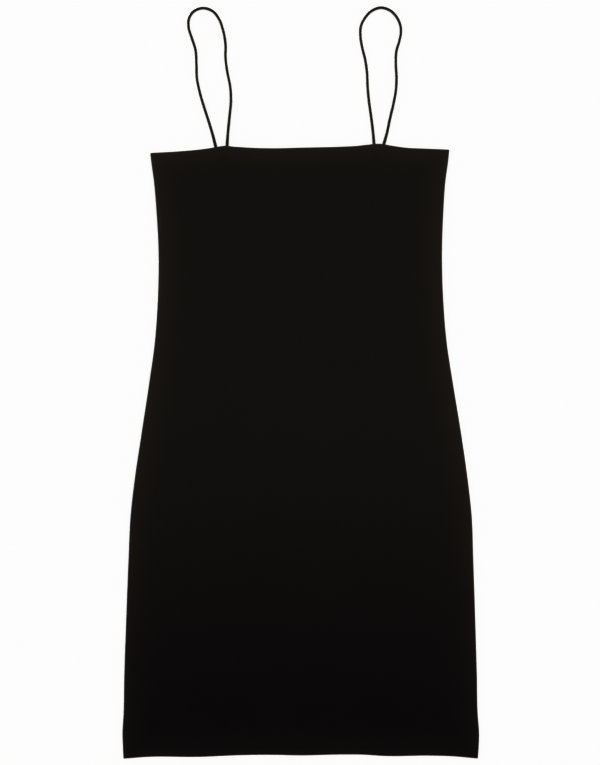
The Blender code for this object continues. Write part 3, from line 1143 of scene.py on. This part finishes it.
def rows_at(plan, shares, turned):
    """Points of the cloth's middle for rows at those shares of the way from hem to neckline, as a
    grid, with their places. Turned rows lie inside, behind the others."""
    shares = np.asarray(shares)[:, None]
    up_ends = height_up(np.array([[0.0, 1.0]]), shares)
    left, right = -left_side(up_ends[:, :1]), right_side(up_ends[:, 1:])

    inward, margin = side_insets(plan, turned)
    face_left, face_right = left + margin, right - margin
    face_x = face_left + (face_right - face_left) * face_fractions()
    x = np.concatenate([left + inward, face_x, (right - inward)[:, ::-1]], axis=1)

    up = height_up((x - left) / (right - left), shares)
    from_side = np.minimum(x - left, right - x)
    from_hem = np.broadcast_to(shares * BODY - plan.short, x.shape)
    from_neck = np.broadcast_to((1 - shares) * BODY - plan.short, x.shape)
    place = Place(x, up, from_side, from_hem, from_neck)
    z = plan.face(place) - plan.outward * settings().cloth.thickness / 2
    if turned:
        z = z - plan.outward * 2 * turn_radius()
    else:
        fold_sides(plan, z)
    return np.stack([x, up + cad_low.y, z], axis=-1), place


def fold_rows(start, end, outward_y):
    """Rows round the half-round fold from one row to another that lies behind it."""
    angle = FOLD_ANGLES[..., None]
    rows = (start + end) / 2 + (start - end) / 2 * np.cos(angle)
    return rows + np.array([0, outward_y * turn_radius(), 0]) * np.sin(angle)


def square_corners(fold, turned, face):
    """Keeps the fold as wide as the face up to its outermost row, so that its corners are square."""
    behind = np.maximum(np.cos(FOLD_ANGLES), 0)
    fold[..., 0] = face[:, 0] + (turned[:, 0] - face[:, 0]) * behind


def edge_highlight(place):
    """How strong the painted highlight is: a pale glow painted along the folded edges and the side
    seams.
    """
    wear = 0
    for distance, share in (
        (place.from_side, SIDE_HIGHLIGHT),
        (place.from_hem, TURNED_HIGHLIGHT),
        (place.from_neck, TURNED_HIGHLIGHT),
    ):
        inward = np.maximum(distance, 0)
        lit_edge = BROAD_HIGHLIGHT * np.exp(-inward / BROAD_HIGHLIGHT_REACH) + NARROW_HIGHLIGHT * hill(inward, NARROW_HIGHLIGHT_REACH)
        wear = np.maximum(wear, share * lit_edge)
    return wear


def panel_strip(plan):
    """The panel's cloth: hem turn-up, hem fold, face, neckline fold and turn-in."""
    cloth, stitches = settings().cloth, settings().stitches
    hem_rows = rows_of_depth(cloth.hem_turn, stitches.hem_row)
    neck_rows = rows_of_depth(cloth.neck_turn, stitches.neck_row)
    between_start = cloth.hem_turn + FACE_STEP
    between_end = BODY - 2 * plan.short - cloth.neck_turn - FACE_STEP
    between = np.arange(between_start, between_end, cloth.row_step)
    hem_shares = (plan.short + hem_rows) / BODY
    neck_shares = 1 - (plan.short + neck_rows) / BODY
    face_shares = np.concatenate([hem_shares, (plan.short + between) / BODY, neck_shares[::-1]])

    face, face_place = rows_at(plan, face_shares, turned=False)
    hem_turn, hem_place = rows_at(plan, hem_shares[::-1], turned=True)
    neck_turn, neck_place = rows_at(plan, neck_shares, turned=True)
    hem_fold = fold_rows(hem_turn[-1], face[0], -1)
    square_corners(hem_fold, hem_turn[-1], face[0])
    neck_fold = fold_rows(face[-1], neck_turn[0], 1)
    middle = np.concatenate([hem_turn, hem_fold, face, neck_fold, neck_turn])

    columns = middle.shape[1]
    marks = {}
    for mark, at, on_fold in ((HIGHLIGHT_MARK, edge_highlight, 1.0), (PULL_MARK, needle_pull, 0.0)):
        fold = np.full((FOLD_STEPS, columns), on_fold)
        grids = [at(hem_place), fold, at(face_place), fold, at(neck_place)]
        marks[mark] = np.clip(np.concatenate(grids), 0, 1)

    along = length_along(middle[:, columns // 2])
    across = length_along(np.moveaxis(middle, 1, 0)).T
    across = across - across[:, columns // 2, None]
    cloth_map = np.stack(np.broadcast_arrays(across, along[:, None]), axis=-1)

    normal = np.cross(np.gradient(middle, axis=1), np.gradient(middle, axis=0)) * plan.outward
    return Strip(middle, unit(normal), cloth_map, marks, len(hem_turn) + FOLD_STEPS, face_shares)


def panel_shell(plan, material):
    """The panel's cloth with its thickness: both faces, and rims round its cut edges."""
    strip = panel_strip(plan)
    half = settings().cloth.thickness / 2
    outer, inner = strip.middle + strip.normal * half, strip.middle - strip.normal * half
    if plan.outward < 0:
        outer[..., 2] = np.maximum(outer[..., 2], 0.0)
    rows, columns = strip.middle.shape[:2]
    count = rows * columns
    quads = grid_quads(rows, columns)
    numbers = np.arange(count).reshape(rows, columns)
    rim = np.concatenate([numbers[0], numbers[1:, -1], numbers[-1, -2::-1], numbers[-2:0:-1, 0]])
    after = np.roll(rim, -1)
    rim_quads = np.stack([after, rim, rim + count, after + count], axis=1)
    faces = np.concatenate([quads, quads[:, ::-1] + count, rim_quads])
    if plan.outward < 0:
        faces = faces[:, ::-1]
    points = np.concatenate([outer.reshape(-1, 3), inner.reshape(-1, 3)])
    cloth_map = np.tile(strip.cloth_map.reshape(-1, 2), (2, 1))
    marks = {mark: np.tile(values.ravel(), 2) for mark, values in strip.marks.items()}
    return mesh_piece(plan.name, points, faces, material, cloth_map, marks)


class SLIPDRESS_OT_panels(Operator):
    """Make the front and back panels as thin cloth with turned hem and neckline"""

    bl_idname = "slip_dress.panels"
    bl_label = "Make the panels"

    def execute(self, context):
        for plan in (FRONT, BACK):
            panel = panel_shell(plan, jersey_finish(f"{plan.name}_cloth"))
            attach(panel, BODY_NAME)
            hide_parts(plan.node)
        return {"FINISHED"}


# ---------------------------------------------------------------- the stitches

STITCH_SINK = 0.30  # how deep a stitch lies in the cloth, as a share of the thread's thickness
STITCH_YAW = 0.07  # how far a stitch may lie askew, as an angle
STITCH_SIZES = (0.92, 1.05)  # the smallest and the largest, as shares of a plain stitch


def add_sockets(tree, in_out, kinds):
    """Gives a tree named inputs or outputs, and gives their identifiers."""
    add = partial(tree.interface.new_socket, in_out=in_out)
    return {name: add(name, socket_type=f"NodeSocket{kind}").identifier for name, kind in kinds.items()}


def stitch_tree(material):
    """Small grains of thread along each row, a pitch apart, lying on the cloth and sunk into it.
    Gives the tree and the identifiers of its inputs."""
    build = Build(bpy.data.node_groups.new("twin_needle_rows", "GeometryNodeTree"))
    sizes = {name: "Float" for name in ("Pitch", "Stitch Length", "Thread", "Sink")}
    inputs = add_sockets(build.tree, "INPUT", {"Rows": "Geometry", **sizes, "Seed": "Int"})
    add_sockets(build.tree, "OUTPUT", {"Stitches": "Geometry"})
    rows = build.node("NodeGroupInput")

    def uneven(low, high):
        """A number between low and high for each stitch."""
        chosen, seed = {"data_type": "FLOAT"}, rows.beside("Seed")
        return build.node("FunctionNodeRandomValue", chosen, Min=low, Max=high, Seed=seed)

    line, pitch = build.node("GeometryNodeMeshToCurve", Mesh=rows), rows.beside("Pitch")
    spaced = build.node("GeometryNodeResampleCurve", {"mode": "LENGTH"}, Curve=line, Length=pitch)
    chosen = {"data_type": "FLOAT_VECTOR"}
    outward = build.node("GeometryNodeInputNamedAttribute", chosen, Name=OUT_MARK)
    inward = rows.beside("Sink") * -1.0
    shift = build.node("ShaderNodeVectorMath", {"operation": "SCALE"}, Vector=outward, Scale=inward)
    sunk = build.node("GeometryNodeSetPosition", Geometry=spaced, Offset=shift)

    along = build.node("GeometryNodeInputTangent")
    lying = build.node("FunctionNodeAlignRotationToVector", {"axis": "X"}, Vector=along)
    chosen = {"axis": "Z", "pivot_axis": "X"}
    facing = build.node("FunctionNodeAlignRotationToVector", chosen, Rotation=lying, Vector=outward)
    yaw = build.node("ShaderNodeCombineXYZ", Z=uneven(-STITCH_YAW, STITCH_YAW))
    askew = build.node("FunctionNodeEulerToRotation", Euler=yaw)
    chosen = {"rotation_space": "LOCAL"}
    turned = build.node("FunctionNodeRotateRotation", chosen, Rotation=facing, Rotate_By=askew)

    long_half, thick_half = rows.beside("Stitch Length") * 0.5, rows.beside("Thread") * 0.5
    size = build.node("ShaderNodeCombineXYZ", X=long_half, Y=thick_half, Z=thick_half)
    ball = build.node("GeometryNodeMeshUVSphere", Segments=8, Rings=5, Radius=1.0)
    grain = build.node("GeometryNodeTransform", Geometry=ball, Scale=size)
    scale = uneven(*STITCH_SIZES)
    placed = build.node(
        "GeometryNodeInstanceOnPoints", Points=sunk, Instance=grain, Rotation=turned, Scale=scale
    )
    real = build.node("GeometryNodeRealizeInstances", Geometry=placed)
    smooth = build.node("GeometryNodeSetShadeSmooth", Geometry=real)
    finished = build.node("GeometryNodeSetMaterial", Geometry=smooth, Material=material)
    build.node("NodeGroupOutput", Stitches=finished)
    return build.tree, inputs


def row_lines(plan, from_edge, at_neck):
    """Lines on the panel's outer face for the two needles, as points, edges and outward normals."""
    strip = panel_strip(plan)
    half = settings().cloth.thickness / 2
    skipped = SIDE_FOLD_STEPS + 2  # the fold's points at each side, and the first of the face
    lines, outward, edges = [], [], []
    for distance in (from_edge, from_edge + settings().stitches.needle_gap):
        share = (plan.short + distance) / BODY
        if at_neck:
            share = 1 - share
        row = strip.first_face_row + int(np.argmin(np.abs(strip.shares - share)))
        start = sum(len(line) for line in lines)
        lines.append((strip.middle[row] + strip.normal[row] * half)[skipped:-skipped])
        outward.append(strip.normal[row][skipped:-skipped])
        edges += [(start + i, start + i + 1) for i in range(len(lines[-1]) - 1)]
    return np.concatenate(lines), edges, np.concatenate(outward)


def sew_rows(name, lines, tree, inputs, seed):
    """One pair of needle rows, made into a plain mesh."""
    stitches = settings().stitches
    points, edges, outward = lines
    mesh = bpy.data.meshes.new(f"{name}_lines")
    mesh.from_pydata(points.tolist(), edges, [])
    attribute = mesh.attributes.new(OUT_MARK, "FLOAT_VECTOR", "POINT")
    attribute.data.foreach_set("vector", outward.astype(np.float32).ravel())
    guide = bpy.data.objects.new(f"{name}_guide", mesh)
    modifier = guide.modifiers.new("stitches", "NODES")
    modifier.node_group = tree
    values = {
        "Pitch": stitches.pitch,
        "Stitch Length": stitches.length,
        "Thread": stitches.thread,
        "Sink": stitches.thread * STITCH_SINK,
        "Seed": seed,
    }
    for socket, value in values.items():
        modifier[inputs[socket]] = value
    bpy.context.scene.collection.objects.link(guide)
    graph = bpy.context.evaluated_depsgraph_get()
    sewn = bpy.data.meshes.new_from_object(guide.evaluated_get(graph), depsgraph=graph)
    bpy.data.objects.remove(guide, do_unlink=True)
    if not sewn.polygons:
        raise RuntimeError(f"{name}: no stitches were made")
    sewn.name = name
    return into_scene(name, sewn)


class SLIPDRESS_OT_stitches(Operator):
    """Sew the twin-needle rows along the hem and the neckline of both panels"""

    bl_idname = "slip_dress.stitches"
    bl_label = "Sew the rows"

    def execute(self, context):
        stitches = settings().stitches
        tree, inputs = stitch_tree(thread_finish())
        for seed, plan in enumerate((FRONT, BACK), start=1):
            for edge, from_edge in (("hem", stitches.hem_row), ("neckline", stitches.neck_row)):
                lines = row_lines(plan, from_edge, at_neck=edge == "neckline")
                piece = sew_rows(f"{plan.node}_{edge}_stitches", lines, tree, inputs, seed)
                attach(piece, BODY_NAME)
        return {"FINISHED"}


# ---------------------------------------------------------------- the sidebar and the run


class SLIPDRESS_PT_sidebar(Panel):
    """Sizes, colours and steps of the slip dress"""

    bl_idname = "SLIPDRESS_PT_sidebar"
    bl_label = "Slip Dress"
    bl_space_type = "VIEW_3D"
    bl_region_type = "UI"
    bl_category = "Slip Dress"

    def draw(self, context):
        for step in STEPS:
            self.layout.operator(step.bl_idname, text=step.bl_label)
        dress = context.scene.slip_dress
        for part in DressSettings.__annotations__:
            box = self.layout.box()
            box.label(text=part.capitalize())
            group = getattr(dress, part)
            for name in group.__annotations__:
                box.prop(group, name)


STEPS = (SLIPDRESS_OT_stage, SLIPDRESS_OT_straps, SLIPDRESS_OT_panels, SLIPDRESS_OT_stitches)
GROUPS = (ClothSettings, StrapSettings, StitchSettings, FinishSettings, StudioSettings, DressSettings)
CLASSES = (*GROUPS, *STEPS, SLIPDRESS_PT_sidebar)


def register():
    for part in CLASSES:
        bpy.utils.register_class(part)
    bpy.types.Scene.slip_dress = PointerProperty(
        type=DressSettings, name="Slip dress", description="Settings of the slip dress"
    )


def unregister():
    del bpy.types.Scene.slip_dress
    for part in reversed(CLASSES):
        bpy.utils.unregister_class(part)


def light_pieces():
    """Lets the strap end's light fall on the dress alone."""
    lit = bpy.data.collections[LIT_PIECES]
    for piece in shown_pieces():
        lit.objects.link(piece)


def main():
    """Makes the pieces and the stage."""
    register()
    bpy.ops.slip_dress.stage()
    bpy.ops.slip_dress.straps()
    bpy.ops.slip_dress.panels()
    bpy.ops.slip_dress.stitches()
    light_pieces()


if __name__ == "__main__":
    main()
